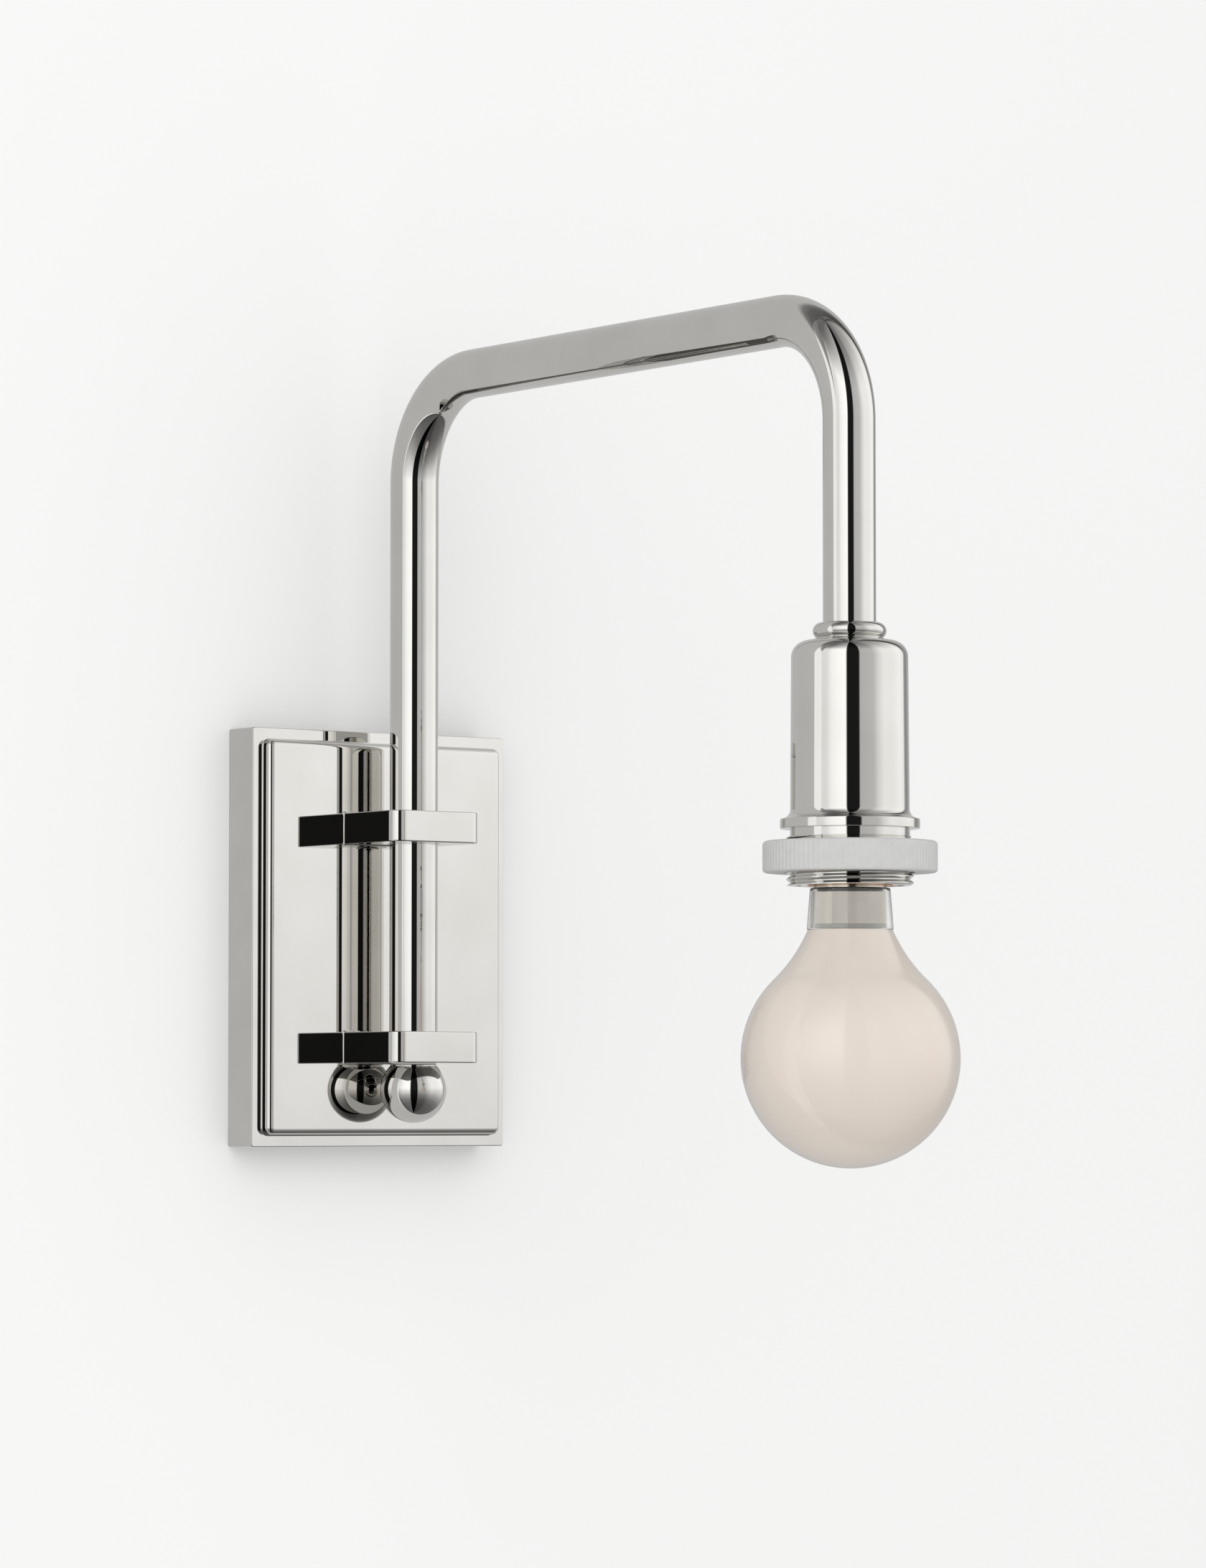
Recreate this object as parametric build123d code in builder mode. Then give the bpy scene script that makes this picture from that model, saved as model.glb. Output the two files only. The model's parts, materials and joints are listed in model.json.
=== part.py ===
from build123d import *
import os
from math import asin, cos, radians, sin

os.makedirs("parts", exist_ok=True)

# Swing arm wall sconce, in millimetres. The origin is the centre of the wall face:
# X runs along the wall, Y into the wall, Z up. Everything stands on the -Y side.

# Wall plate
plate_width = 121.0
plate_height = 164.0
rim_depth = 16.5  # wall to the ledge around the panel
ledge_width = 4.6
panel_rise = 5.0
plate_wall = 1.6
plate_corner = 1.0
panel_face = rim_depth + panel_rise
pan_back = panel_face - plate_wall  # inner face of the panel, from the wall

# Arm
tube_radius = 19.05 / 2
tube_bore = tube_radius - 1.25
pivot_standoff = 18.5  # panel to the pivot's axis
pivot_y = -(panel_face + pivot_standoff)
arm_reach = 270.0
lamp_y = pivot_y - arm_reach
arm_top = 219.0  # centre line of the tube's level run
bend_radius = 40.0
swing_limit = 85.0  # degrees each way, set by the stop screw

# Brackets that carry the arm
block_width = 41.5
block_depth = 36.0
block_height = 12.3
block_level = 43.1  # centre of each block above and below the plate's centre
block_corner = 5.4
block_edge = 0.6
bush_wall = 0.95
running_gap = 0.05
bush_bore = tube_radius + running_gap
bush_radius = bush_bore + bush_wall
bracket_screw_x = 14.0
bracket_screw_radius = 2.0
bracket_screw_length = 14.0
bracket_head_radius = 3.6
bracket_head_height = 2.4
lead_channel_radius = 3.2
window_spare = 10.0  # degrees past a quarter turn that the lead window is open

# Foot of the pivot, inside the lower block
lower_top = -block_level + block_height / 2
lower_bottom = -block_level - block_height / 2
socket_floor_wall = 4.0
socket_floor = lower_bottom + socket_floor_wall
thrust_washer = 1.0
leg_foot = socket_floor + thrust_washer
plug_height = 12.25
stud_radius = 4.75
stud_height = 16.25
finial_washer_height = 0.5
finial_washer_radius = 8.8
finial_neck_radius = 9.15
ball_radius = 13.0
ball_level = -59.6
stop_level = -40.5
stop_screw_radius = 1.5
stop_head_radius = 2.8
stop_head_height = 2.0
stop_slot_play = 0.4
stop_tip = 8.4  # distance from the pivot's axis to the stop screw's tip

# Strap on the junction box
strap_width = 22.0
strap_thickness = 2.0
strap_tab = 13.0
slot_spacing = 83.0
slot_length = 14.0
slot_radius = 2.4
set_screw_y = -9.0
set_screw_radius = 2.0
set_screw_length = 6.0
ground_screw_level = 18.0
ground_head_radius = 3.6
ground_head_height = 2.2

# Leads
lead_radius = 1.0
lead_side = 1.6  # each lead's distance from the middle plane
lead_bend = 5.0
nut_mouth_level = 12.0
nut_height = 20.0
nut_tip_radius = 3.6
nut_mouth_radius = 5.4
nut_x = 12.0
nut_y = -10.0
nut_approach = 14.0  # how far below its channel a lead is in line with its nut
lead_play = 0.3

# Lamp holder, levels above the plate's centre
collar_level = 103.3
collar_radius = 13.2
collar_bead = 3.0
collar_foot_radius = 12.6
cup_top = 99.9
cup_bottom = 40.5
cup_shoulder = 6.0
cup_radius = 20.95
cup_foot_radius = 21.3
cup_wall = 1.2
flange_radius = 25.0
flange_bottom = 32.6
flange_rim = 4.0
nipple_radius = 5.0
nipple_bore = 3.5
nipple_top = 110.0
nipple_bottom = 86.0
locknut_radius = 8.0
locknut_height = 4.0
end_plug_height = 11.0
leg_end = cup_top
sleeve_root = 21.4
sleeve_bore = 19.5
thread_crest = 22.75
thread_pitch = 2.45
thread_top = 27.9
sleeve_bottom = 12.3
ring_radius = 31.25
ring_top = 28.2
ring_bottom = 16.9
ring_edge = 1.4
ring_gap = 0.3  # clear of the thread's crests
insulator_top = 62.0
insulator_shelf = 46.0
insulator_radius = 15.0  # above the shelf
insulator_recess = 0.4
lead_drop_x = 11.0
terminal_level = 54.0
terminal_radius = 1.75
terminal_length = 6.0
terminal_head_radius = 3.2
terminal_head_height = 2.0
shell_radius = 13.6
shell_bore = 13.3
shell_top = 41.0
shell_lip_radius = 15.2
shell_lip = 0.5
contact_level = 40.4
contact_radius = 6.0
contact_seat = shell_top + 1.0

# Globe lamp
cap_radius = 13.1
cap_bottom = 11.4
cap_top = 34.0
cap_wall = 0.5
cap_crown_radius = 9.5
cap_crown = 37.0
tip_level = 39.6
tip_radius = 4.7
tip_base = 37.4
tip_shoulder = 39.0
tip_flat_radius = 2.5
neck_collar_top_radius = 14.4
neck_collar_bottom_radius = 15.5
neck_collar_bottom = -3.5
heatsink_radius = 13.0
heatsink_top = 10.0
heatsink_bottom = -1.9
heatsink_wall = 1.0
driver_width = 16.0
driver_thickness = 1.2
driver_top = 30.0
driver_play = 0.4
globe_radius = 39.15
globe_level = -49.2
globe_neck_radius = 15.2
globe_wall = 1.0
globe_tangent = 45.7  # degrees above the globe's equator where its neck starts
glass_top = -3.5

pivot_axis = Axis((0, pivot_y, 0), (0, 0, 1))
lamp_axis = Axis((0, lamp_y, 0), (0, 0, 1))
pivot_section = Plane(origin=(0, pivot_y, 0), x_dir=(1, 0, 0), z_dir=(0, -1, 0))
lamp_section = Plane(origin=(0, lamp_y, 0), x_dir=(1, 0, 0), z_dir=(0, -1, 0))
room_side = Plane.XZ  # its normal points away from the wall


def write(piece, name):
    piece.part.label = name
    export_step(piece.part, "parts/" + name + ".step")


def outline(plane, *corners):
    # Half section of a turned piece, as (radius, height) corners.
    with BuildSketch(plane) as half:
        with BuildLine():
            Polyline(*corners, close=True)
        make_face()
    return half.sketch


def tube_outline(plane, inner, outer, low, high):
    return outline(plane, (inner, low), (outer, low), (outer, high), (inner, high))


def headed_screw(plane, shank_radius, shank_length, head_radius, head_height):
    # The shank runs along the plane's normal and the slotted head stands behind it.
    with BuildPart() as screw:
        with BuildSketch(plane):
            Circle(shank_radius)
        extrude(amount=shank_length)
        with BuildSketch(plane):
            Circle(head_radius)
        extrude(amount=-head_height)
        with BuildSketch(plane.offset(-head_height)):
            Rectangle(2 * head_radius, head_radius / 3)
        extrude(amount=head_height / 2, mode=Mode.SUBTRACT)
    return screw.part


def bracket_block(level):
    with BuildPart() as block:
        with BuildSketch(Plane.XY.offset(level - block_height / 2)):
            with Locations((0, -panel_face - block_depth / 2)):
                Rectangle(block_width, block_depth)
        extrude(amount=block_height)
        fillet(block.edges().filter_by(Axis.Z).sort_by(Axis.Y)[:2], block_corner)
        rims = block.edges().group_by(Axis.Z)[0] + block.edges().group_by(Axis.Z)[-1]
        fillet([rim for rim in rims if rim.center().Y < -panel_face - block_edge], block_edge)
        with BuildSketch(Plane.XZ.offset(panel_face)):
            with Locations((-bracket_screw_x, level), (bracket_screw_x, level)):
                Circle(bracket_screw_radius)
        extrude(amount=bracket_screw_length - plate_wall, mode=Mode.SUBTRACT)
    return block.part


def lead(radius, bends, *points):
    # A round conductor with its insulation, along straight runs and tangent arcs.
    start = Vector(*points[0])
    heading = (Vector(*points[1]) - start).normalized()
    with BuildPart() as wire:
        with BuildLine() as route:
            FilletPolyline(*points, radius=bends)
        with BuildSketch(Plane(origin=start, z_dir=heading)):
            Circle(radius)
        sweep(path=route.line)
    return wire.part


# ---- Wall plate ----
with BuildPart() as backplate_cover:
    with BuildSketch(room_side):
        RectangleRounded(plate_width, plate_height, plate_corner)
    extrude(amount=rim_depth)
    fillet(backplate_cover.faces().sort_by(Axis.Y)[0].edges(), plate_corner / 2)
    with BuildSketch(room_side.offset(rim_depth)):
        RectangleRounded(plate_width - 2 * ledge_width, plate_height - 2 * ledge_width, 2 * plate_corner)
    extrude(amount=panel_rise)
    fillet(backplate_cover.faces().sort_by(Axis.Y)[0].edges(), plate_corner)
    inset = 2 * plate_wall
    with BuildSketch(room_side):
        Rectangle(plate_width - inset, plate_height - inset)
    extrude(amount=rim_depth - plate_wall, mode=Mode.SUBTRACT)
    with BuildSketch(room_side):
        Rectangle(plate_width - 2 * ledge_width - inset, plate_height - 2 * ledge_width - inset)
    extrude(amount=pan_back, mode=Mode.SUBTRACT)
    with BuildSketch(room_side):
        for side in (-1, 1):
            with Locations((-bracket_screw_x, side * block_level), (bracket_screw_x, side * block_level)):
                Circle(bracket_screw_radius)
        with Locations((0, block_level)):
            Circle(lead_channel_radius)
        with Locations((0, stop_level)):
            Circle(stop_screw_radius)
    extrude(amount=panel_face, mode=Mode.SUBTRACT)
    with BuildSketch(Plane.XY.offset(-plate_height / 2)):
        with Locations((0, set_screw_y)):
            Circle(set_screw_radius)
    extrude(amount=plate_height, mode=Mode.SUBTRACT)
write(backplate_cover, "backplate_cover")

with BuildPart() as mounting_crossbar:
    tab_level = plate_height / 2 - plate_wall
    with BuildSketch(room_side):
        Rectangle(strap_width, 2 * tab_level)
        with Locations((0, slot_spacing / 2), (0, -slot_spacing / 2)):
            SlotOverall(slot_length, 2 * slot_radius, rotation=90, mode=Mode.SUBTRACT)
        with Locations((0, ground_screw_level)):
            Circle(set_screw_radius, mode=Mode.SUBTRACT)
    extrude(amount=strap_thickness)
    for side in (-1, 1):
        with BuildSketch(room_side):
            with Locations((0, side * (tab_level - strap_thickness / 2))):
                Rectangle(strap_width, strap_thickness)
        extrude(amount=strap_tab)
    with BuildSketch(Plane.XY.offset(-plate_height / 2)):
        with Locations((0, set_screw_y)):
            Circle(set_screw_radius)
    extrude(amount=plate_height, mode=Mode.SUBTRACT)
write(mounting_crossbar, "mounting_crossbar")

with BuildPart() as cover_set_screws:
    with BuildSketch(Plane.XY.offset(plate_height / 2)):
        with Locations((0, set_screw_y)):
            Circle(set_screw_radius)
    extrude(amount=-set_screw_length)
    with BuildSketch(Plane.XY.offset(plate_height / 2)):
        with Locations((0, set_screw_y)):
            RegularPolygon(set_screw_radius / 2, 6)
    extrude(amount=-set_screw_radius, mode=Mode.SUBTRACT)
    mirror(about=Plane.XY)
write(cover_set_screws, "cover_set_screws")

with BuildPart() as ground_screw:
    head_plane = Plane(origin=(0, -strap_thickness, ground_screw_level), z_dir=(0, 1, 0))
    add(
        headed_screw(
            head_plane, set_screw_radius, strap_thickness, ground_head_radius, ground_head_height
        )
    )
write(ground_screw, "ground_screw")

with BuildPart() as ground_lead:
    add(
        lead(
            lead_radius,
            lead_bend,
            (0, -3.3, ground_screw_level - ground_head_radius),
            (0, -3.3, ground_screw_level - 10.0),
            (0, -11.0, ground_screw_level - 22.0),
            (0, -11.0, ground_screw_level - 42.0),
        )
    )
write(ground_lead, "ground_lead")

# ---- Brackets and pivot ----
with BuildPart() as upper_bracket:
    add(bracket_block(block_level))
    with BuildSketch(Plane.XY.offset(block_level - block_height / 2)):
        with Locations((0, pivot_y)):
            Circle(bush_radius)
    extrude(amount=block_height, mode=Mode.SUBTRACT)
    with BuildSketch(room_side.offset(panel_face)):
        with Locations((0, block_level)):
            Circle(lead_channel_radius)
    extrude(amount=pivot_standoff, mode=Mode.SUBTRACT)
write(upper_bracket, "upper_bracket")

with BuildPart() as lower_bracket:
    add(bracket_block(-block_level))
    with BuildSketch(Plane.XY.offset(socket_floor)):
        with Locations((0, pivot_y)):
            Circle(bush_radius)
    extrude(amount=lower_top - socket_floor, mode=Mode.SUBTRACT)
    with BuildSketch(Plane.XY.offset(lower_bottom)):
        with Locations((0, pivot_y)):
            Circle(stud_radius + running_gap)
    extrude(amount=block_height / 2, mode=Mode.SUBTRACT)
    with BuildSketch(room_side.offset(panel_face)):
        with Locations((0, stop_level)):
            Circle(stop_screw_radius)
    extrude(amount=pivot_standoff, mode=Mode.SUBTRACT)
write(lower_bracket, "lower_bracket")

with BuildPart() as bracket_screws:
    for side in (-1, 1):
        for x in (-bracket_screw_x, bracket_screw_x):
            seat = Plane(origin=(x, -pan_back, side * block_level), z_dir=(0, -1, 0))
            add(
                headed_screw(
                    seat,
                    bracket_screw_radius,
                    bracket_screw_length,
                    bracket_head_radius,
                    bracket_head_height,
                )
            )
write(bracket_screws, "bracket_screws")

with BuildPart() as upper_bushing:
    level = block_level - block_height / 2
    revolve(tube_outline(pivot_section, bush_bore, bush_radius, level, level + block_height), axis=pivot_axis)
    with BuildSketch(room_side.offset(panel_face)):
        with Locations((0, block_level)):
            Circle(lead_channel_radius)
    extrude(amount=pivot_standoff, mode=Mode.SUBTRACT)
write(upper_bushing, "upper_bushing")

with BuildPart() as lower_bushing:
    revolve(tube_outline(pivot_section, bush_bore, bush_radius, socket_floor, lower_top), axis=pivot_axis)
    with BuildSketch(room_side.offset(panel_face)):
        with Locations((0, stop_level)):
            Circle(stop_screw_radius)
    extrude(amount=pivot_standoff, mode=Mode.SUBTRACT)
write(lower_bushing, "lower_bushing")

with BuildPart() as pivot_washer:
    revolve(
        tube_outline(
            pivot_section,
            stud_radius + lead_play,
            tube_radius - 2 * running_gap,
            socket_floor,
            leg_foot,
        ),
        axis=pivot_axis,
    )
write(pivot_washer, "pivot_washer")

with BuildPart() as stop_screw:
    seat = Plane(origin=(0, -pan_back, stop_level), z_dir=(0, -1, 0))
    stop_length = -pivot_y - pan_back - stop_tip
    add(headed_screw(seat, stop_screw_radius, stop_length, stop_head_radius, stop_head_height))
write(stop_screw, "stop_screw")

# ---- Leads in the wall plate ----
for name, side in (("wall_lead_hot", 1), ("wall_lead_neutral", -1)):
    with BuildPart() as wall_lead:
        add(
            lead(
                lead_radius,
                lead_bend,
                (side * lead_side, pivot_y + tube_radius + lead_play, block_level),
                (side * lead_side, nut_y, block_level),
                (side * nut_x, nut_y, block_level - nut_approach),
                (side * nut_x, nut_y, nut_mouth_level),
            )
        )
    write(wall_lead, name)

with BuildPart() as wire_connectors:
    for side in (-1, 1):
        with Locations((side * nut_x, nut_y, nut_mouth_level - nut_height / 2)):
            Cone(bottom_radius=nut_tip_radius, top_radius=nut_mouth_radius, height=nut_height)
write(wire_connectors, "wire_connectors")

# ---- Arm ----
with BuildPart() as arm_tube:
    with BuildLine(Plane.YZ) as arm_route:
        FilletPolyline(
            (pivot_y, leg_foot),
            (pivot_y, arm_top),
            (lamp_y, arm_top),
            (lamp_y, leg_end),
            radius=bend_radius,
        )
    with BuildSketch(Plane.XY.offset(leg_foot)):
        with Locations((0, pivot_y)):
            Circle(tube_radius)
            Circle(tube_bore, mode=Mode.SUBTRACT)
    sweep(path=arm_route.line)
    # Window for the leads and slot for the stop screw, both on the wall side.
    window_height = 2 * lead_channel_radius
    window_reach = tube_radius * sin(radians(window_spare))
    stop_height = 2 * stop_screw_radius + stop_slot_play
    stop_reach = tube_radius * sin(radians(swing_limit - 90) + asin(stop_screw_radius / stop_tip))
    for height, reach, level in (
        (window_height, window_reach, block_level),
        (stop_height, stop_reach, stop_level),
    ):
        with BuildSketch(Plane.XY.offset(level - height / 2)):
            with Locations((0, pivot_y + tube_radius - reach)):
                Rectangle(4 * tube_radius, 2 * tube_radius)
        extrude(amount=height, mode=Mode.SUBTRACT)
write(arm_tube, "arm_tube")

with BuildPart() as leg_plug:
    revolve(
        tube_outline(pivot_section, stud_radius, tube_bore, leg_foot, leg_foot + plug_height),
        axis=pivot_axis,
    )
write(leg_plug, "leg_plug")

with BuildPart() as finial_washer:
    revolve(
        tube_outline(
            pivot_section,
            stud_radius,
            finial_washer_radius,
            lower_bottom - finial_washer_height,
            lower_bottom,
        ),
        axis=pivot_axis,
    )
write(finial_washer, "finial_washer")

with BuildPart() as ball_finial:
    neck_top = lower_bottom - finial_washer_height
    neck_level = ball_level + (ball_radius**2 - finial_neck_radius**2) ** 0.5
    with BuildSketch(pivot_section):
        with BuildLine():
            Line((0, ball_level - ball_radius), (0, neck_top + stud_height))
            Line((0, neck_top + stud_height), (stud_radius, neck_top + stud_height))
            Line((stud_radius, neck_top + stud_height), (stud_radius, neck_top))
            Line((stud_radius, neck_top), (finial_neck_radius, neck_top))
            Line((finial_neck_radius, neck_top), (finial_neck_radius, neck_level))
            ThreePointArc(
                (finial_neck_radius, neck_level),
                (ball_radius, ball_level),
                (0, ball_level - ball_radius),
            )
        make_face()
    revolve(axis=pivot_axis)
write(ball_finial, "ball_finial")

for name, side in (("arm_lead_hot", 1), ("arm_lead_neutral", -1)):
    with BuildPart() as arm_lead:
        x = side * lead_side
        add(
            lead(
                lead_radius,
                [bend_radius, bend_radius, lead_bend, lead_bend],
                (x, pivot_y, block_level - lead_channel_radius),
                (x, pivot_y, arm_top),
                (x, lamp_y, arm_top),
                (x, lamp_y, nipple_bottom - lead_bend),
                (side * lead_drop_x, lamp_y, insulator_top + 2 * lead_bend),
                (side * lead_drop_x, lamp_y, insulator_top),
            )
        )
    write(arm_lead, name)

# ---- Lamp holder ----
with BuildPart() as lamp_end_plug:
    revolve(
        tube_outline(lamp_section, nipple_radius, tube_bore, leg_end, leg_end + end_plug_height),
        axis=lamp_axis,
    )
write(lamp_end_plug, "lamp_end_plug")

with BuildPart() as lamp_nipple:
    revolve(
        tube_outline(lamp_section, nipple_bore, nipple_radius, nipple_bottom, nipple_top),
        axis=lamp_axis,
    )
write(lamp_nipple, "lamp_nipple")

with BuildPart() as nipple_locknut:
    nut_top = cup_top - cup_wall
    with BuildSketch(Plane.XY.offset(nut_top)):
        with Locations((0, lamp_y)):
            RegularPolygon(locknut_radius, 6)
            Circle(nipple_radius, mode=Mode.SUBTRACT)
    extrude(amount=-locknut_height)
write(nipple_locknut, "nipple_locknut")

with BuildPart() as tube_collar:
    belly = collar_radius - collar_bead
    collar_top = collar_level + collar_bead
    foot_rise = collar_bead - (collar_bead**2 - (collar_foot_radius - belly) ** 2) ** 0.5
    foot_level = collar_level - collar_bead + foot_rise
    with BuildSketch(lamp_section):
        with BuildLine():
            Line((tube_radius, cup_top), (collar_foot_radius, cup_top))
            Line((collar_foot_radius, cup_top), (collar_foot_radius, foot_level))
            ThreePointArc(
                (collar_foot_radius, foot_level), (collar_radius, collar_level), (belly, collar_top)
            )
            Line((belly, collar_top), (tube_radius, collar_top))
            Line((tube_radius, collar_top), (tube_radius, cup_top))
        make_face()
    revolve(axis=lamp_axis)
write(tube_collar, "tube_collar")

with BuildPart() as socket_cup:
    rim_top = flange_bottom + flange_rim
    with BuildSketch(lamp_section):
        with BuildLine():
            arc_x = cup_radius - cup_shoulder
            arc_z = cup_top - cup_shoulder
            Line((nipple_radius, cup_top), (arc_x, cup_top))
            ThreePointArc(
                (arc_x, cup_top),
                (arc_x + cup_shoulder * sin(radians(45)), arc_z + cup_shoulder * cos(radians(45))),
                (cup_radius, arc_z),
            )
            Line((cup_radius, arc_z), (cup_foot_radius, cup_bottom))
            Line((cup_foot_radius, cup_bottom), (flange_radius, rim_top))
            Line((flange_radius, rim_top), (flange_radius, flange_bottom))
            Line((flange_radius, flange_bottom), (cup_foot_radius - cup_wall, flange_bottom))
            Line((cup_foot_radius - cup_wall, flange_bottom), (cup_foot_radius - cup_wall, cup_bottom))
            Line((cup_foot_radius - cup_wall, cup_bottom), (cup_radius - cup_wall, arc_z))
            ThreePointArc(
                (cup_radius - cup_wall, arc_z),
                (
                    arc_x + (cup_shoulder - cup_wall) * sin(radians(45)),
                    arc_z + (cup_shoulder - cup_wall) * cos(radians(45)),
                ),
                (arc_x, cup_top - cup_wall),
            )
            Line((arc_x, cup_top - cup_wall), (nipple_radius, cup_top - cup_wall))
            Line((nipple_radius, cup_top - cup_wall), (nipple_radius, cup_top))
        make_face()
    revolve(axis=lamp_axis)
write(socket_cup, "socket_cup")

with BuildPart() as threaded_sleeve:
    tenon_radius = cup_foot_radius - cup_wall
    corners = [(sleeve_bore, sleeve_bottom)]
    root = thread_crest - thread_pitch / 2
    level = sleeve_bottom
    while level + thread_pitch < thread_top:
        corners += [(root, level), (thread_crest, level + thread_pitch / 2)]
        level += thread_pitch
    corners += [(root, level), (sleeve_root, level), (sleeve_root, flange_bottom)]
    corners += [(tenon_radius, flange_bottom), (tenon_radius, cup_bottom), (sleeve_bore, cup_bottom)]
    revolve(outline(lamp_section, *corners), axis=lamp_axis)
write(threaded_sleeve, "threaded_sleeve")

with BuildPart() as socket_insulator:
    revolve(
        outline(
            lamp_section,
            (shell_radius, sleeve_bottom + insulator_recess),
            (sleeve_bore, sleeve_bottom + insulator_recess),
            (sleeve_bore, insulator_shelf),
            (insulator_radius, insulator_shelf),
            (insulator_radius, insulator_top),
            (0, insulator_top),
            (0, contact_seat),
            (shell_radius, contact_seat),
        ),
        axis=lamp_axis,
    )
    # Tapped holes for the terminal screws, from each side.
    for side in (-1, 1):
        seat = Plane(origin=(side * insulator_radius, lamp_y, terminal_level), z_dir=(-side, 0, 0))
        with BuildSketch(seat):
            Circle(terminal_radius)
        extrude(amount=terminal_length, mode=Mode.SUBTRACT)
write(socket_insulator, "socket_insulator")

with BuildPart() as screw_shell:
    shell_rim = sleeve_bottom + insulator_recess
    revolve(
        outline(
            lamp_section,
            (shell_bore, shell_rim - shell_lip),
            (shell_lip_radius, shell_rim - shell_lip),
            (shell_lip_radius, shell_rim),
            (shell_radius, shell_rim),
            (shell_radius, shell_top),
            (shell_bore, shell_top),
        ),
        axis=lamp_axis,
    )
write(screw_shell, "screw_shell")

with BuildPart() as centre_contact:
    with BuildSketch(Plane.XY.offset(contact_seat)):
        with Locations((0, lamp_y)):
            Circle(contact_radius)
    extrude(amount=contact_level - contact_seat)
write(centre_contact, "centre_contact")

with BuildPart() as terminal_screws:
    for side in (-1, 1):
        seat = Plane(origin=(side * insulator_radius, lamp_y, terminal_level), z_dir=(-side, 0, 0))
        add(
            headed_screw(
                seat, terminal_radius, terminal_length, terminal_head_radius, terminal_head_height
            )
        )
write(terminal_screws, "terminal_screws")

with BuildPart() as shade_ring:
    with BuildSketch(Plane.XY.offset(ring_bottom)):
        with Locations((0, lamp_y)):
            Circle(ring_radius)
            Circle(thread_crest + ring_gap, mode=Mode.SUBTRACT)
    extrude(amount=ring_top - ring_bottom)
    rims = shade_ring.edges().filter_by(GeomType.CIRCLE)
    fillet([rim for rim in rims if rim.radius > thread_crest + ring_edge], ring_edge)
write(shade_ring, "shade_ring")

# ---- Globe lamp ----
with BuildPart() as bulb_glass:
    tangent_x = cos(radians(globe_tangent))
    tangent_z = sin(radians(globe_tangent))
    for shrink, mode in ((0.0, Mode.ADD), (globe_wall, Mode.SUBTRACT)):
        radius = globe_radius - shrink
        shoulder = (radius * tangent_x, globe_level + radius * tangent_z)
        neck = (globe_neck_radius - shrink, glass_top)
        with BuildSketch(lamp_section):
            with BuildLine():
                ThreePointArc((0, globe_level - radius), (radius, globe_level), shoulder)
                TangentArc(shoulder, neck, tangent=(-tangent_z, tangent_x))
                Line(neck, (0, glass_top))
                Line((0, glass_top), (0, globe_level - radius))
            make_face()
        revolve(axis=lamp_axis, mode=mode)
write(bulb_glass, "bulb_glass")

with BuildPart() as bulb_collar:
    revolve(
        outline(
            lamp_section,
            (heatsink_radius, neck_collar_bottom),
            (neck_collar_bottom_radius, neck_collar_bottom),
            (neck_collar_top_radius, cap_bottom),
            (0, cap_bottom),
            (0, heatsink_top),
            (heatsink_radius, heatsink_top),
        ),
        axis=lamp_axis,
    )
    # The driver board passes through the collar's top.
    with BuildSketch(Plane.XY.offset(heatsink_top)):
        with Locations((0, lamp_y)):
            Rectangle(driver_width + driver_play, driver_thickness + driver_play)
    extrude(amount=cap_bottom - heatsink_top, mode=Mode.SUBTRACT)
write(bulb_collar, "bulb_collar")

with BuildPart() as bulb_heatsink:
    revolve(
        tube_outline(
            lamp_section,
            heatsink_radius - heatsink_wall,
            heatsink_radius,
            heatsink_bottom,
            heatsink_top,
        ),
        axis=lamp_axis,
    )
write(bulb_heatsink, "bulb_heatsink")

with BuildPart() as led_board:
    with BuildSketch(Plane.XY.offset(neck_collar_bottom)):
        with Locations((0, lamp_y)):
            Circle(heatsink_radius)
    extrude(amount=heatsink_bottom - neck_collar_bottom)
write(led_board, "led_board")

with BuildPart() as driver_board:
    with BuildSketch(Plane.XY.offset(heatsink_bottom)):
        with Locations((0, lamp_y)):
            Rectangle(driver_width, driver_thickness)
    extrude(amount=driver_top - heatsink_bottom)
write(driver_board, "driver_board")

with BuildPart() as bulb_cap:
    revolve(
        outline(
            lamp_section,
            (cap_radius - cap_wall, cap_bottom),
            (cap_radius, cap_bottom),
            (cap_radius, cap_top),
            (cap_crown_radius, cap_crown),
            (cap_crown_radius - cap_wall, cap_crown),
            (cap_radius - cap_wall, cap_top),
        ),
        axis=lamp_axis,
    )
write(bulb_cap, "bulb_cap")

with BuildPart() as bulb_insulator:
    revolve(
        outline(
            lamp_section,
            (tip_radius, cap_crown),
            (cap_crown_radius - cap_wall, cap_crown),
            (tip_radius, tip_shoulder),
        ),
        axis=lamp_axis,
    )
write(bulb_insulator, "bulb_insulator")

with BuildPart() as bulb_contact:
    revolve(
        outline(
            lamp_section,
            (0, tip_base),
            (tip_radius, tip_base),
            (tip_radius, tip_shoulder),
            (tip_flat_radius, tip_level),
            (0, tip_level),
        ),
        axis=lamp_axis,
    )
write(bulb_contact, "bulb_contact")
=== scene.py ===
import json
from math import asin, cos, degrees, pi, radians, sin, sqrt

import bpy
from mathutils import Matrix, Vector


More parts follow.
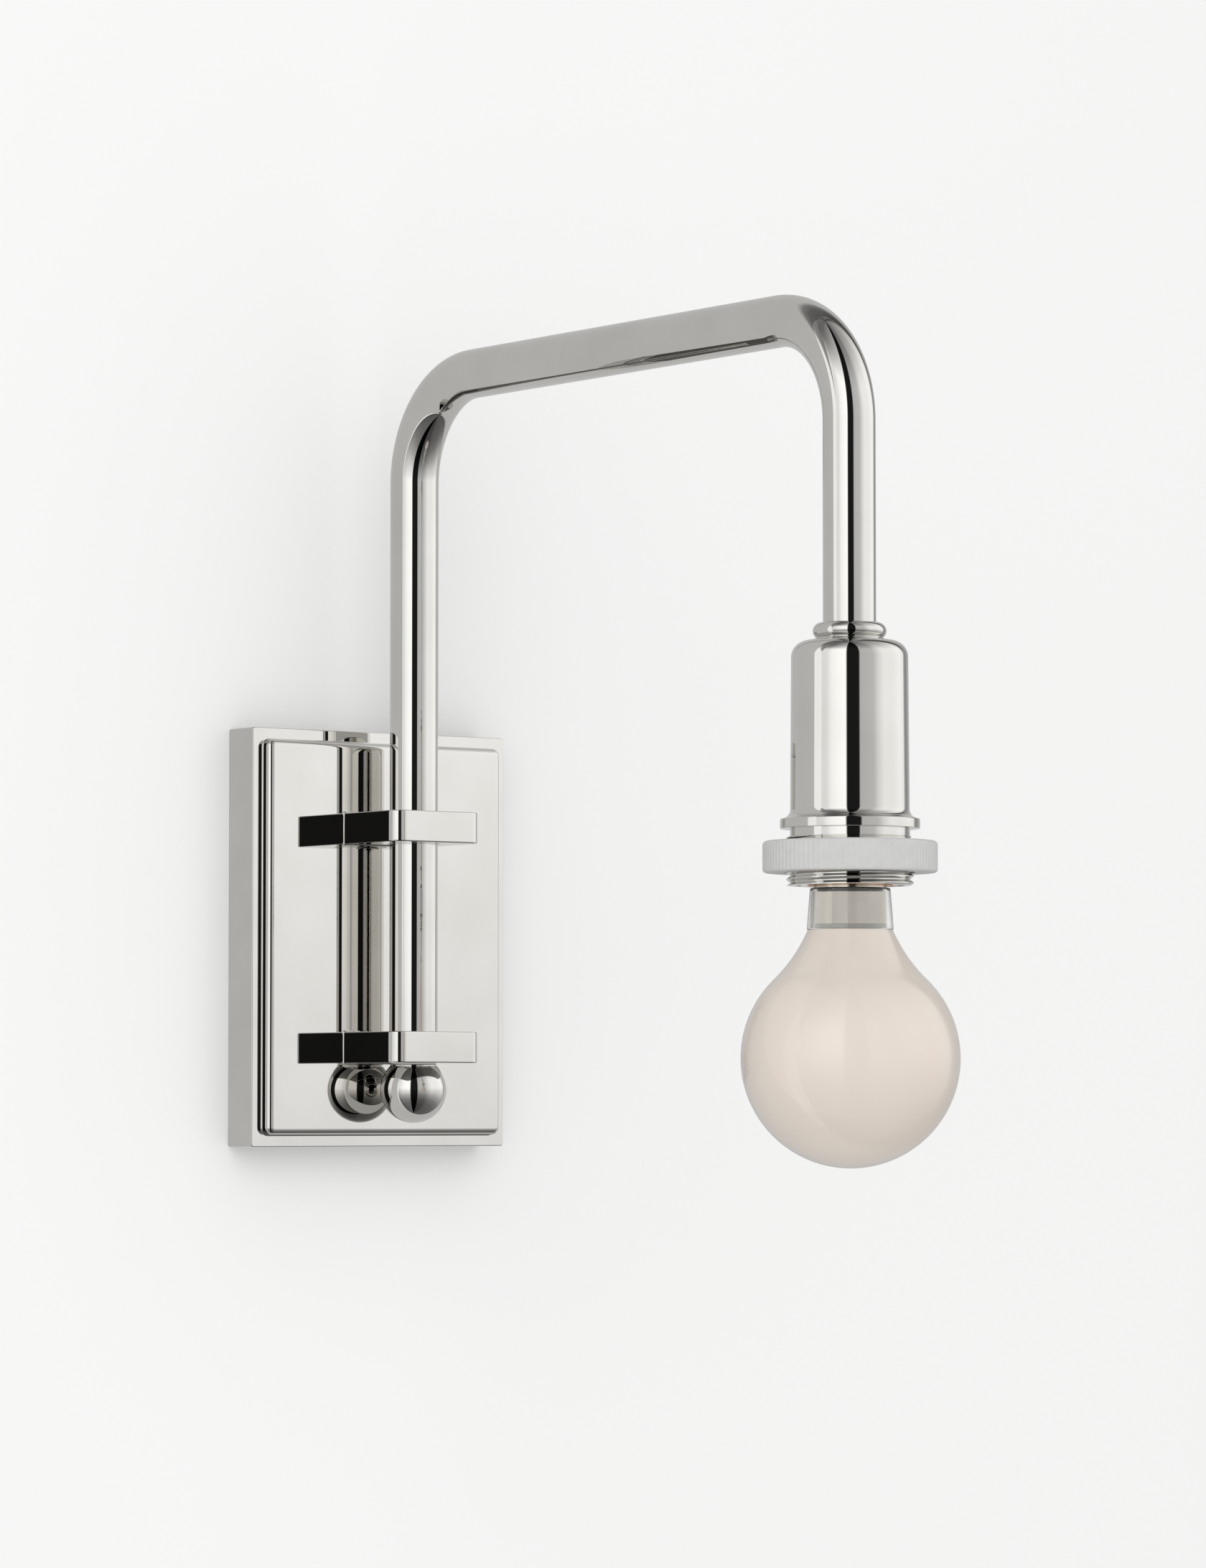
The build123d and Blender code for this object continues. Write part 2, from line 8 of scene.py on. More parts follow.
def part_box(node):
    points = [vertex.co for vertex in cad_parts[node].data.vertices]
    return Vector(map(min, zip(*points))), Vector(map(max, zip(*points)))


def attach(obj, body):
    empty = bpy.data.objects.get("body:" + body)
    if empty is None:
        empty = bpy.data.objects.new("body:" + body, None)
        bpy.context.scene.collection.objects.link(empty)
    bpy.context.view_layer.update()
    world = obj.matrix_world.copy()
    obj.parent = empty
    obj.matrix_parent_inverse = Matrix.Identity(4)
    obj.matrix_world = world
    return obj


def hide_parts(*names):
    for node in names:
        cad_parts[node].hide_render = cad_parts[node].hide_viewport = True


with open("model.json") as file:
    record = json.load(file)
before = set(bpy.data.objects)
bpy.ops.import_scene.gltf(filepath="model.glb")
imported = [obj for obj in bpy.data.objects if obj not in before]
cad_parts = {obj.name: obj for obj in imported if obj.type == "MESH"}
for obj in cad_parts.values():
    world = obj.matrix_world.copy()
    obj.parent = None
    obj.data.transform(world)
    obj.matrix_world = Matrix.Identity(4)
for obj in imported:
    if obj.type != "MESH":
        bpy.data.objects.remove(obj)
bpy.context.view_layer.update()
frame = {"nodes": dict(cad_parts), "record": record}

print("frame:", len(frame["nodes"]), "CAD nodes")

# Places that the frame gives
plateLow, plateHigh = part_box("backplate_cover")
tubeLow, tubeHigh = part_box("arm_tube")
cupLow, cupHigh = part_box("socket_cup")
ballLow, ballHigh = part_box("ball_finial")
pivotY = (ballLow.y + ballHigh.y) / 2
lampY = (cupLow.y + cupHigh.y) / 2


# small tools for the hand work
def deselectAll():
    if bpy.context.object and bpy.context.object.mode != "OBJECT":
        bpy.ops.object.mode_set(mode="OBJECT")
    bpy.ops.object.select_all(action="DESELECT")


def choose(piece):
    deselectAll()
    piece.select_set(True)
    bpy.context.view_layer.objects.active = piece


def named(name):
    piece = bpy.context.object
    piece.name = name
    piece.data.name = name
    return piece


def placed(piece):
    # puts the object's place, turn and scale into its mesh
    choose(piece)
    bpy.ops.object.transform_apply(location=True, rotation=True, scale=True)
    return piece


def pick(piece, kind, test):
    # selects vertices, edges or faces by where they are, and stays in edit mode
    choose(piece)
    bpy.ops.object.mode_set(mode="EDIT")
    bpy.ops.mesh.select_mode(type=kind)
    bpy.ops.mesh.select_all(action="DESELECT")
    bpy.ops.object.mode_set(mode="OBJECT")
    mesh = piece.data
    where = [v.co for v in mesh.vertices]
    if kind == "VERT":
        for vertex in mesh.vertices:
            vertex.select = bool(test(vertex.co))
    elif kind == "EDGE":
        for edge in mesh.edges:
            edge.select = bool(test(where[edge.vertices[0]], where[edge.vertices[1]]))
    else:
        for face in mesh.polygons:
            face.select = bool(test(face.center, face.normal))
    bpy.ops.object.mode_set(mode="EDIT")


def near(a, b, slack=1e-5):
    return abs(a - b) < slack


def cleaned(piece, slack=2e-6):
    # merges doubles and points the faces outwards
    choose(piece)
    bpy.ops.object.mode_set(mode="EDIT")
    bpy.ops.mesh.select_all(action="SELECT")
    bpy.ops.mesh.remove_doubles(threshold=slack)
    bpy.ops.mesh.normals_make_consistent(inside=False)
    bpy.ops.object.mode_set(mode="OBJECT")
    return piece


def combine(piece, other, operation):
    useModifier(piece, "BOOLEAN", operation=operation, object=other, solver="EXACT")
    bpy.data.objects.remove(other)


def useModifier(piece, kind, **settings):
    choose(piece)
    modifier = piece.modifiers.new(kind.lower(), kind)
    for key, value in settings.items():
        setattr(modifier, key, value)
    bpy.ops.object.modifier_apply(modifier=modifier.name)
    return piece


def smoothed(piece, angle=38):
    choose(piece)
    bpy.ops.object.shade_smooth_by_angle(angle=radians(angle))
    useModifier(piece, "WEIGHTED_NORMAL", keep_sharp=True)
    return piece


def extrudeBy(*offset):
    bpy.ops.mesh.extrude_region_move(TRANSFORM_OT_translate={"value": offset})


def addCircle(steps, radius, axisY, level):
    bpy.ops.mesh.primitive_circle_add(vertices=steps, radius=radius, location=(0, axisY, level))


def growRings(rings, axisY):
    # carries the selected circle on from ring to ring
    for (radiusA, levelA), (radiusB, levelB) in zip(rings, rings[1:]):
        extrudeBy(0, 0, levelB - levelA)
        ratio = radiusB / radiusA
        if ratio != 1:
            bpy.ops.transform.resize(value=(ratio, ratio, 1), center_override=(0, axisY, levelB))


def arc(centre, radius, start, end, steps):
    # a round stretch of an outline as (radius, level) points, angles in degrees
    turns = [radians(start + (end - start) * i / steps) for i in range(steps + 1)]
    return [(centre[0] + radius * cos(t), centre[1] + radius * sin(t)) for t in turns]


def turnPiece(name, outline, axisY, steps, closed=True):
    # a circle at the outline's first point, extruded and scaled from ring to ring
    deselectAll()
    radius, level = outline[0]
    addCircle(steps, radius, axisY, level)
    piece = named(name)
    bpy.ops.object.mode_set(mode="EDIT")
    bpy.ops.mesh.select_all(action="SELECT")
    growRings(outline + outline[:1] if closed else outline, axisY)
    bpy.ops.object.mode_set(mode="OBJECT")
    return placed(cleaned(piece))


def drill(piece, radius, start, end, sides=96):
    # takes a round hole from start to end out of the piece
    deselectAll()
    span = Vector(end) - Vector(start)
    turn = Vector((0, 0, 1)).rotation_difference(span).to_euler()
    middle = (Vector(start) + Vector(end)) / 2
    bpy.ops.mesh.primitive_cylinder_add(
        vertices=sides, radius=radius, depth=span.length, location=middle, rotation=turn
    )
    combine(piece, placed(named("drillBit")), "DIFFERENCE")
    return piece


def finished(piece, body, slot, material, *nodes):
    piece.data.materials.clear()
    piece.data.materials.append(material)
    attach(piece, body)
    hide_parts(*nodes)
    return piece


# shared effects
def newGroup(name, inputs, outputs):
    group = bpy.data.node_groups.new(name, "ShaderNodeTree")
    for label, kind, value in inputs:
        socket = group.interface.new_socket(name=label, in_out="INPUT", socket_type=kind)
        socket.default_value = value
    for label, kind in outputs:
        group.interface.new_socket(name=label, in_out="OUTPUT", socket_type=kind)
    return group, group.nodes.new("NodeGroupInput"), group.nodes.new("NodeGroupOutput")


def mathNode(tree, operation, *values, clamp=False):
    node = tree.nodes.new("ShaderNodeMath")
    node.operation = operation
    node.use_clamp = clamp
    for socket, value in zip(node.inputs, values):
        if isinstance(value, bpy.types.NodeSocket):
            tree.links.new(value, socket)
        else:
            socket.default_value = value
    return node.outputs[0]


def multiplied(tree, first, second):
    # the product of two colours
    mix = tree.nodes.new("ShaderNodeMix")
    mix.data_type = "RGBA"
    mix.blend_type = "MULTIPLY"
    mix.inputs["Factor"].default_value = 1.0
    tree.links.new(first, mix.inputs[6])
    tree.links.new(second, mix.inputs[7])
    return mix.outputs[2]


def makePolishGroup():
    # faint waves left by the buffing wheel, and where the polish is a little duller
    group, given, out = newGroup(
        "polish",
        [
            ("Vector", "NodeSocketVector", (0, 0, 0)),
            ("Wave Size", "NodeSocketFloat", 40.0),
            ("Haze Size", "NodeSocketFloat", 60.0),
            ("Low", "NodeSocketFloat", 0.02),
            ("High", "NodeSocketFloat", 0.06),
        ],
        [("Height", "NodeSocketFloat"), ("Roughness", "NodeSocketFloat"), ("Mask", "NodeSocketFloat")],
    )
    link = group.links.new
    waves = group.nodes.new("ShaderNodeTexNoise")
    waves.inputs["Detail"].default_value = 1.0
    haze = group.nodes.new("ShaderNodeTexNoise")
    haze.inputs["Detail"].default_value = 5.0
    haze.inputs["Roughness"].default_value = 0.62
    for node, size in ((waves, "Wave Size"), (haze, "Haze Size")):
        link(given.outputs["Vector"], node.inputs["Vector"])
        link(given.outputs[size], node.inputs["Scale"])
    span = group.nodes.new("ShaderNodeMapRange")
    span.inputs["From Min"].default_value = 0.35
    span.inputs["From Max"].default_value = 0.7
    link(haze.outputs["Fac"], span.inputs["Value"])
    link(given.outputs["Low"], span.inputs["To Min"])
    link(given.outputs["High"], span.inputs["To Max"])
    link(waves.outputs["Fac"], out.inputs["Height"])
    link(span.outputs["Result"], out.inputs["Roughness"])
    link(haze.outputs["Fac"], out.inputs["Mask"])
    return group


def makeGrainGroup():
    # fine lines along one axis, as a brush or a lathe leaves them
    group, given, out = newGroup(
        "grain",
        [
            ("Vector", "NodeSocketVector", (0, 0, 0)),
            ("Stretch", "NodeSocketVector", (1, 1, 20)),
            ("Scale", "NodeSocketFloat", 100.0),
            ("Low", "NodeSocketFloat", 0.2),
            ("High", "NodeSocketFloat", 0.4),
        ],
        [("Height", "NodeSocketFloat"), ("Roughness", "NodeSocketFloat")],
    )
    link = group.links.new
    stretch = group.nodes.new("ShaderNodeVectorMath")
    stretch.operation = "MULTIPLY"
    link(given.outputs["Vector"], stretch.inputs[0])
    link(given.outputs["Stretch"], stretch.inputs[1])
    lines = group.nodes.new("ShaderNodeTexNoise")
    lines.inputs["Detail"].default_value = 4.0
    link(stretch.outputs["Vector"], lines.inputs["Vector"])
    link(given.outputs["Scale"], lines.inputs["Scale"])
    span = group.nodes.new("ShaderNodeMapRange")
    span.inputs["From Min"].default_value = 0.3
    span.inputs["From Max"].default_value = 0.7
    link(lines.outputs["Fac"], span.inputs["Value"])
    link(given.outputs["Low"], span.inputs["To Min"])
    link(given.outputs["High"], span.inputs["To Max"])
    link(lines.outputs["Fac"], out.inputs["Height"])
    link(span.outputs["Result"], out.inputs["Roughness"])
    return group


def makeTintGroup():
    # two tones of one colour, mixed by cloudy noise
    group, given, out = newGroup(
        "tint",
        [
            ("Vector", "NodeSocketVector", (0, 0, 0)),
            ("Scale", "NodeSocketFloat", 60.0),
            ("Light", "NodeSocketColor", (1, 1, 1, 1)),
            ("Dark", "NodeSocketColor", (0.5, 0.5, 0.5, 1)),
        ],
        [("Color", "NodeSocketColor"), ("Mask", "NodeSocketFloat")],
    )
    link = group.links.new
    clouds = group.nodes.new("ShaderNodeTexNoise")
    clouds.inputs["Detail"].default_value = 3.0
    link(given.outputs["Vector"], clouds.inputs["Vector"])
    link(given.outputs["Scale"], clouds.inputs["Scale"])
    span = group.nodes.new("ShaderNodeMapRange")
    span.inputs["From Min"].default_value = 0.3
    span.inputs["From Max"].default_value = 0.7
    link(clouds.outputs["Fac"], span.inputs["Value"])
    mix = group.nodes.new("ShaderNodeMix")
    mix.data_type = "RGBA"
    link(span.outputs["Result"], mix.inputs["Factor"])
    link(given.outputs["Light"], mix.inputs[6])
    link(given.outputs["Dark"], mix.inputs[7])
    link(mix.outputs[2], out.inputs["Color"])
    link(span.outputs["Result"], out.inputs["Mask"])
    return group


effects = {"polish": makePolishGroup(), "grain": makeGrainGroup(), "tint": makeTintGroup()}
print("shared effects:", ", ".join(effects))


# finishes
def newFinish(name):
    material = bpy.data.materials.new(name)
    material.use_nodes = True
    tree = material.node_tree
    shader = tree.nodes["Principled BSDF"]
    place = tree.nodes.new("ShaderNodeTexCoord")
    return material, tree, shader, place.outputs["Object"]


def addEffect(tree, name, place, **values):
    node = tree.nodes.new("ShaderNodeGroup")
    node.node_tree = effects[name]
    tree.links.new(place, node.inputs["Vector"])
    for key, value in values.items():
        node.inputs[key].default_value = value
    return node


def addBump(tree, shader, height, strength, distance):
    bump = tree.nodes.new("ShaderNodeBump")
    bump.inputs["Strength"].default_value = strength
    bump.inputs["Distance"].default_value = distance
    tree.links.new(height, bump.inputs["Height"])
    tree.links.new(bump.outputs["Normal"], shader.inputs["Normal"])


def polishedMetal(name, light, dark, low, high, waveSize=45.0, waveHeight=2e-6):
    material, tree, shader, place = newFinish(name)
    polish = addEffect(tree, "polish", place, Low=low, High=high)
    polish.inputs["Wave Size"].default_value = waveSize
    tint = addEffect(tree, "tint", place, Scale=35.0, Light=light, Dark=dark)
    shader.inputs["Metallic"].default_value = 1.0
    tree.links.new(tint.outputs["Color"], shader.inputs["Base Color"])
    tree.links.new(polish.outputs["Roughness"], shader.inputs["Roughness"])
    addBump(tree, shader, polish.outputs["Height"], 1.0, waveHeight)
    return material


def grainedMetal(name, light, dark, low, high, stretch, scale, depth):
    material, tree, shader, place = newFinish(name)
    grain = addEffect(tree, "grain", place, Stretch=stretch, Scale=scale, Low=low, High=high)
    tint = addEffect(tree, "tint", place, Scale=90.0, Light=light, Dark=dark)
    shader.inputs["Metallic"].default_value = 1.0
    tree.links.new(tint.outputs["Color"], shader.inputs["Base Color"])
    tree.links.new(grain.outputs["Roughness"], shader.inputs["Roughness"])
    addBump(tree, shader, grain.outputs["Height"], 1.0, depth)
    return material


def moulded(name, light, dark, low, high, scale=120.0, depth=6e-6, coat=0.0):
    material, tree, shader, place = newFinish(name)
    polish = addEffect(tree, "polish", place, Low=low, High=high)
    polish.inputs["Haze Size"].default_value = 4 * scale
    tint = addEffect(tree, "tint", place, Scale=scale, Light=light, Dark=dark)
    tree.links.new(tint.outputs["Color"], shader.inputs["Base Color"])
    tree.links.new(polish.outputs["Roughness"], shader.inputs["Roughness"])
    shader.inputs["Coat Weight"].default_value = coat
    shader.inputs["Coat Roughness"].default_value = 0.06
    addBump(tree, shader, polish.outputs["Mask"], 1.0, depth)
    return material


def clearPlastic(name, colour, low, high, bending=1.49, waveHeight=4e-6):
    material, tree, shader, place = newFinish(name)
    polish = addEffect(tree, "polish", place, Low=low, High=high)
    tree.links.new(polish.outputs["Roughness"], shader.inputs["Roughness"])
    shader.inputs["Base Color"].default_value = colour
    shader.inputs["Transmission Weight"].default_value = 1.0
    shader.inputs["IOR"].default_value = bending
    addBump(tree, shader, polish.outputs["Height"], 1.0, waveHeight)
    return material


# mostly a light tone, a dark tone, and the lowest and highest roughness
finishes = {
    "nickel": polishedMetal(
        "polishedNickel", (0.70, 0.688, 0.662, 1), (0.655, 0.642, 0.612, 1), 0.0, 0.012
    ),
    "opal": moulded(
        "opalGlass", (0.77, 0.686, 0.61, 1), (0.755, 0.665, 0.588, 1), 0.3, 0.4, 30.0, 2e-6, coat=0.8
    ),
    "offWhite": moulded(
        "offWhiteRing", (0.60, 0.597, 0.588, 1), (0.565, 0.562, 0.55, 1), 0.38, 0.52, 260.0, 1e-5
    ),
    "clear": clearPlastic("clearCollar", (0.96, 0.955, 0.94, 1), 0.05, 0.12),
    "brushed": grainedMetal(
        "brushedAluminium",
        (0.63, 0.595, 0.545, 1),
        (0.58, 0.545, 0.495, 1),
        0.09,
        0.15,
        stretch=(0.02, 0.02, 1),
        scale=2600.0,
        depth=1e-6,
    ),
    "capNickel": polishedMetal("capNickel", (0.68, 0.64, 0.56, 1), (0.60, 0.56, 0.48, 1), 0.12, 0.24),
    "copper": polishedMetal("copperShell", (0.90, 0.52, 0.30, 1), (0.78, 0.42, 0.24, 1), 0.12, 0.26),
    "brass": polishedMetal("turnedBrass", (0.78, 0.60, 0.32, 1), (0.66, 0.49, 0.25, 1), 0.18, 0.34),
    "zinc": grainedMetal(
        "zincSteel",
        (0.56, 0.57, 0.57, 1),
        (0.42, 0.43, 0.44, 1),
        0.28,
        0.46,
        stretch=(1, 1, 0.12),
        scale=500.0,
        depth=1.5e-5,
    ),
    "porcelain": moulded(
        "glazedPorcelain", (0.86, 0.85, 0.82, 1), (0.80, 0.79, 0.76, 1), 0.12, 0.2, 80.0, 4e-6, coat=0.6
    ),
    "nylon": moulded("whiteNylon", (0.82, 0.81, 0.78, 1), (0.74, 0.73, 0.70, 1), 0.36, 0.5, 300.0),
    "black": moulded("blackInsulator", (0.025, 0.025, 0.025, 1), (0.012, 0.012, 0.012, 1), 0.2, 0.34),
    "board": moulded("circuitBoard", (0.80, 0.80, 0.77, 1), (0.70, 0.71, 0.68, 1), 0.3, 0.45, 500.0),
    "leadBlack": moulded("leadBlack", (0.03, 0.03, 0.03, 1), (0.018, 0.018, 0.018, 1), 0.4, 0.55, 600.0),
    "leadWhite": moulded("leadWhite", (0.78, 0.78, 0.76, 1), (0.68, 0.68, 0.66, 1), 0.4, 0.55, 600.0),
    "leadGreen": moulded("leadGreen", (0.03, 0.26, 0.09, 1), (0.02, 0.18, 0.06, 1), 0.35, 0.5, 600.0),
    "nut": moulded("connectorPlastic", (0.72, 0.34, 0.05, 1), (0.60, 0.27, 0.035, 1), 0.34, 0.48, 400.0),
}
print("finishes:", len(finishes))

slotFinish = {
    "polished_nickel": "nickel",
    "off_white_ring": "offWhite",
    "opal_glass": "opal",
    "clear_plastic": "clear",
    "brushed_aluminium": "brushed",
    "nickel_cap": "capNickel",
    "copper_shell": "copper",
    "brass": "brass",
    "steel": "zinc",
    "porcelain": "porcelain",
    "nylon": "nylon",
    "black_insulator": "black",
    "circuit_board": "board",
    "lead_black": "leadBlack",
    "lead_white": "leadWhite",
    "lead_green": "leadGreen",
    "connector_plastic": "nut",
}
nodeSlots = {part["node"]: part["material_slot"] for part in frame["record"]["subparts"]}
for node, cadObject in frame["nodes"].items():
    cadObject.data.materials[0] = finishes[slotFinish[nodeSlots[node]]]
print("CAD nodes finished")


# wall plate
plateSizes = {
    "ledge": 0.0046,
    "rise": 0.005,
    "panelCorner": 0.003,
    "panelRoll": 0.0026,
    "rootFillet": 0.0005,
    "plateCorner": 0.001,
    "ledgeEdge": 0.0004,
    "wall": 0.0016,
    "screwHole": 0.00215,
    "coverSteps": (6, 4),
    "panelSteps": (12, 14),
    "rootSteps": 5,
    "panSteps": (4, 3),
}


def roundedSlab(name, halfX, halfZ, front, back, corner, edge, cornerSteps, edgeSteps):
    # a slab parallel to the wall, with rounded upright corners and a rounded front edge
    deselectAll()
    place, size = (0, (front + back) / 2, 0), (2 * halfX, back - front, 2 * halfZ)
    bpy.ops.mesh.primitive_cube_add(size=1, location=place, scale=size)
    slab = placed(named(name))
    pick(slab, "EDGE", lambda a, b: near(a.x, b.x) and near(a.z, b.z))
    bpy.ops.mesh.bevel(offset=corner, segments=cornerSteps, affect="EDGES")
    pick(slab, "EDGE", lambda a, b: near(a.y, front) and near(b.y, front))
    bpy.ops.mesh.bevel(offset=edge, segments=edgeSteps, affect="EDGES")
    return cleaned(slab)


def makePlateCover(sizes):
    halfX, halfZ = plateHigh.x, plateHigh.z
    ledge, wall = sizes["ledge"], sizes["wall"]
    ledgeY = plateLow.y + sizes["rise"]
    cover = roundedSlab(
        "plateCover",
        halfX,
        halfZ,
        ledgeY,
        0,
        sizes["plateCorner"],
        sizes["ledgeEdge"],
        *sizes["coverSteps"],
    )
    panelX, panelZ, corner = halfX - ledge, halfZ - ledge, sizes["panelCorner"]
    panel = roundedSlab(
        "panel",
        panelX,
        panelZ,
        plateLow.y,
        ledgeY + wall,
        corner,
        sizes["panelRoll"],
        *sizes["panelSteps"],
    )
    combine(cover, panel, "UNION")

    def onRoot(point):
        # whether the point is on the panel's outline, where the step meets the ledge
        overX = max(0, abs(point.x) - panelX + corner)
        overZ = max(0, abs(point.z) - panelZ + corner)
        over = Vector((overX, overZ))
        distance = over.length if overX and overZ else max(over)
        return near(point.y, ledgeY) and near(distance, corner, 2e-5)

    pick(cover, "EDGE", lambda a, b: onRoot(a) and onRoot(b))
    bpy.ops.mesh.bevel(offset=sizes["rootFillet"], segments=sizes["rootSteps"], affect="EDGES")
    bpy.ops.object.mode_set(mode="OBJECT")
    # the pan behind it, open to the wall
    for inset, front in ((wall, ledgeY + wall), (wall + ledge, plateLow.y + wall)):
        panX, panZ = halfX - inset, halfZ - inset
        pan = roundedSlab("pan", panX, panZ, front, wall, wall, wall / 2, *sizes["panSteps"])
        combine(cover, pan, "DIFFERENCE")
    cleaned(cover)
    screwLow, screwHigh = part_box("cover_set_screws")
    screwY = (screwLow.y + screwHigh.y) / 2
    reach = 4 * wall
    for side in (-1, 1):
        edge = side * halfZ
        drill(cover, sizes["screwHole"], (0, screwY, edge - reach), (0, screwY, edge + reach))
    return smoothed(cover)


plateCover = makePlateCover(plateSizes)
finished(plateCover, "wall_plate", "polished_nickel", finishes["nickel"], "backplate_cover")
print("plate cover made")


# brackets
blockSizes = {
    "corner": 0.0054,
    "edge": 0.0006,
    "cornerSegments": 20,
    "edgeSegments": 4,
    "footFillet": 0.0005,
    "footSteps": 6,
    "borePast": 0.002,
}


def makeBlock(name, node, sizes, boreRadius, boreLow):
    deselectAll()
    low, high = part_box(node)
    fillet = sizes["footFillet"]
    back = high.y - fillet
    centre, size = (low + high) / 2, high - low
    bpy.ops.mesh.primitive_cube_add(
        size=1,
        location=(centre.x, (low.y + back) / 2, centre.z),
        scale=(size.x, back - low.y, size.z),
    )
    block = placed(named(name))
    # the foot flares out to the panel in a small fillet
    pick(block, "FACE", lambda place, normal: near(place.y, back))
    spread, reach = 0.0, 0.0
    for i in range(1, sizes["footSteps"] + 1):
        turn = pi / 2 * i / sizes["footSteps"]
        wider, further = fillet * (1 - cos(turn)), fillet * sin(turn)
        extrudeBy(0, further - reach, 0)
        grow = [(side + 2 * wider) / (side + 2 * spread) for side in (size.x, size.z)]
        bpy.ops.transform.resize(
            value=(grow[0], 1, grow[1]), center_override=(centre.x, back + further, centre.z)
        )
        spread, reach = wider, further
    pick(
        block,
        "EDGE",
        lambda a, b: near(a.y, low.y) and near(b.y, low.y) and near(a.x, b.x),
    )
    bpy.ops.mesh.bevel(offset=sizes["corner"], segments=sizes["cornerSegments"], affect="EDGES")

    def rim(a, b):
        level = near(a.z, b.z) and (near(a.z, low.z) or near(a.z, high.z))
        return level and min(a.y, b.y) < back - fillet

    pick(block, "EDGE", rim)
    bpy.ops.mesh.bevel(offset=sizes["edge"], segments=sizes["edgeSegments"], affect="EDGES")
    cleaned(block)
    drill(block, boreRadius, (0, pivotY, boreLow), (0, pivotY, high.z + sizes["borePast"]))
    return smoothed(block)


bushLow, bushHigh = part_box("upper_bushing")
boreRadius = (bushHigh.x - bushLow.x) / 2
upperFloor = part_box("upper_bracket")[0].z - blockSizes["borePast"]
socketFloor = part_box("lower_bushing")[0].z  # the lower bore stops where the bushing stands
upperBlock = makeBlock("upperBlock", "upper_bracket", blockSizes, boreRadius, upperFloor)
lowerBlock = makeBlock("lowerBlock", "lower_bracket", blockSizes, boreRadius, socketFloor)
finished(upperBlock, "wall_plate", "polished_nickel", finishes["nickel"], "upper_bracket")
finished(lowerBlock, "wall_plate", "polished_nickel", finishes["nickel"], "lower_bracket")
print("brackets made")


# arm tube
armSizes = {"bend": 0.040, "wall": 0.00125, "around": 96, "bendSteps": 40}


def makeArmTube(sizes):
    deselectAll()
    radius = tubeHigh.x
    top = tubeHigh.z - radius
    legFoot, armEnd = tubeLow.z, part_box("tube_collar")[0].z
    bend = sizes["bend"]
    addCircle(sizes["around"], radius, pivotY, legFoot)
    tube = named("armTube")
    bpy.ops.object.mode_set(mode="EDIT")
    bpy.ops.mesh.select_all(action="SELECT")
    extrudeBy(0, 0, top - bend - legFoot)
    across, down = (0, lampY - pivotY + 2 * bend, 0), (0, 0, armEnd - top + bend)
    for turnY, straight in ((pivotY - bend, across), (lampY + bend, down)):
        bpy.ops.mesh.spin(
            steps=sizes["bendSteps"], angle=-pi / 2, center=(0, turnY, top - bend), axis=(1, 0, 0)
        )
        extrudeBy(*straight)
    placed(cleaned(tube))
    useModifier(tube, "SOLIDIFY", thickness=sizes["wall"], offset=-1)
    return smoothed(tube)


finished(makeArmTube(armSizes), "swing_arm", "polished_nickel", finishes["nickel"], "arm_tube")
print("arm tube made")


# finial
finialSizes = {
    "neck": 0.00915,
    "stud": 0.00475,
    "edge": 0.0002,
    "edgeSteps": 4,
    "around": 160,
    "arcSteps": 60,
    "poleAngle": -89.9,
    "pole": 1e-7,
}


def makeFinial(sizes):
    radius = ballHigh.x
    centre = ballLow.z + radius
    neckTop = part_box("finial_washer")[0].z
    rise = sqrt(radius**2 - sizes["neck"] ** 2)
    start = degrees(asin(rise / radius))
    outline = [(sizes["stud"], ballHigh.z), (sizes["stud"], neckTop)]
    edge = sizes["edge"]
    outline += arc((sizes["neck"] - edge, neckTop - edge), edge, 90, 0, sizes["edgeSteps"])
    outline += arc((0, centre), radius, start, sizes["poleAngle"], sizes["arcSteps"])
    outline.append((sizes["pole"], ballLow.z))
    finial = turnPiece("ballFinial", outline, pivotY, sizes["around"], closed=False)
    pick(finial, "EDGE", lambda a, b: near(a.z, ballHigh.z) and near(b.z, ballHigh.z))
    bpy.ops.mesh.edge_face_add()
    return smoothed(cleaned(finial))


finished(makeFinial(finialSizes), "swing_arm", "polished_nickel", finishes["nickel"], "ball_finial")
print("finial made")


# lamp holder
collarSizes = {
    "bead": 0.003,
    "beadArc": (84, -52),
    "beadSteps": 30,
    "foot": 0.0126,
    "footRise": 0.0002,
    "around": 128,
}


def makeCollar(sizes):
    low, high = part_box("tube_collar")
    bore = tubeHigh.x
    middle = high.z - sizes["bead"]
    belly = high.x - sizes["bead"]
    outline = [(bore, high.z), (belly, high.z)]
    outline += arc((belly, middle), sizes["bead"], *sizes["beadArc"], sizes["beadSteps"])
    outline += [(sizes["foot"], low.z + sizes["footRise"]), (sizes["foot"], low.z), (bore, low.z)]
    return smoothed(turnPiece("tubeCollar", outline, lampY, sizes["around"]), angle=50)


finished(makeCollar(collarSizes), "swing_arm", "polished_nickel", finishes["nickel"], "tube_collar")

cupSizes = {
    "bore": 0.005,
    "wall": 0.0012,
    "shoulder": 0.006,
    "waist": 0.02095,
    "foot": 0.0213,
    "footLevel": 0.0405,
    "rim": 0.0036,
    "flare": 0.0034,
    "flareArc": (180, 262),
    "lip": 0.0006,
    "rimEdge": 0.00015,
    "topRing": 0.004,
    "footRun": 0.001,
    "shoulderSteps": 28,
    "innerSteps": 10,
    "flareSteps": 14,
    "lipSteps": 6,
    "around": 160,
}


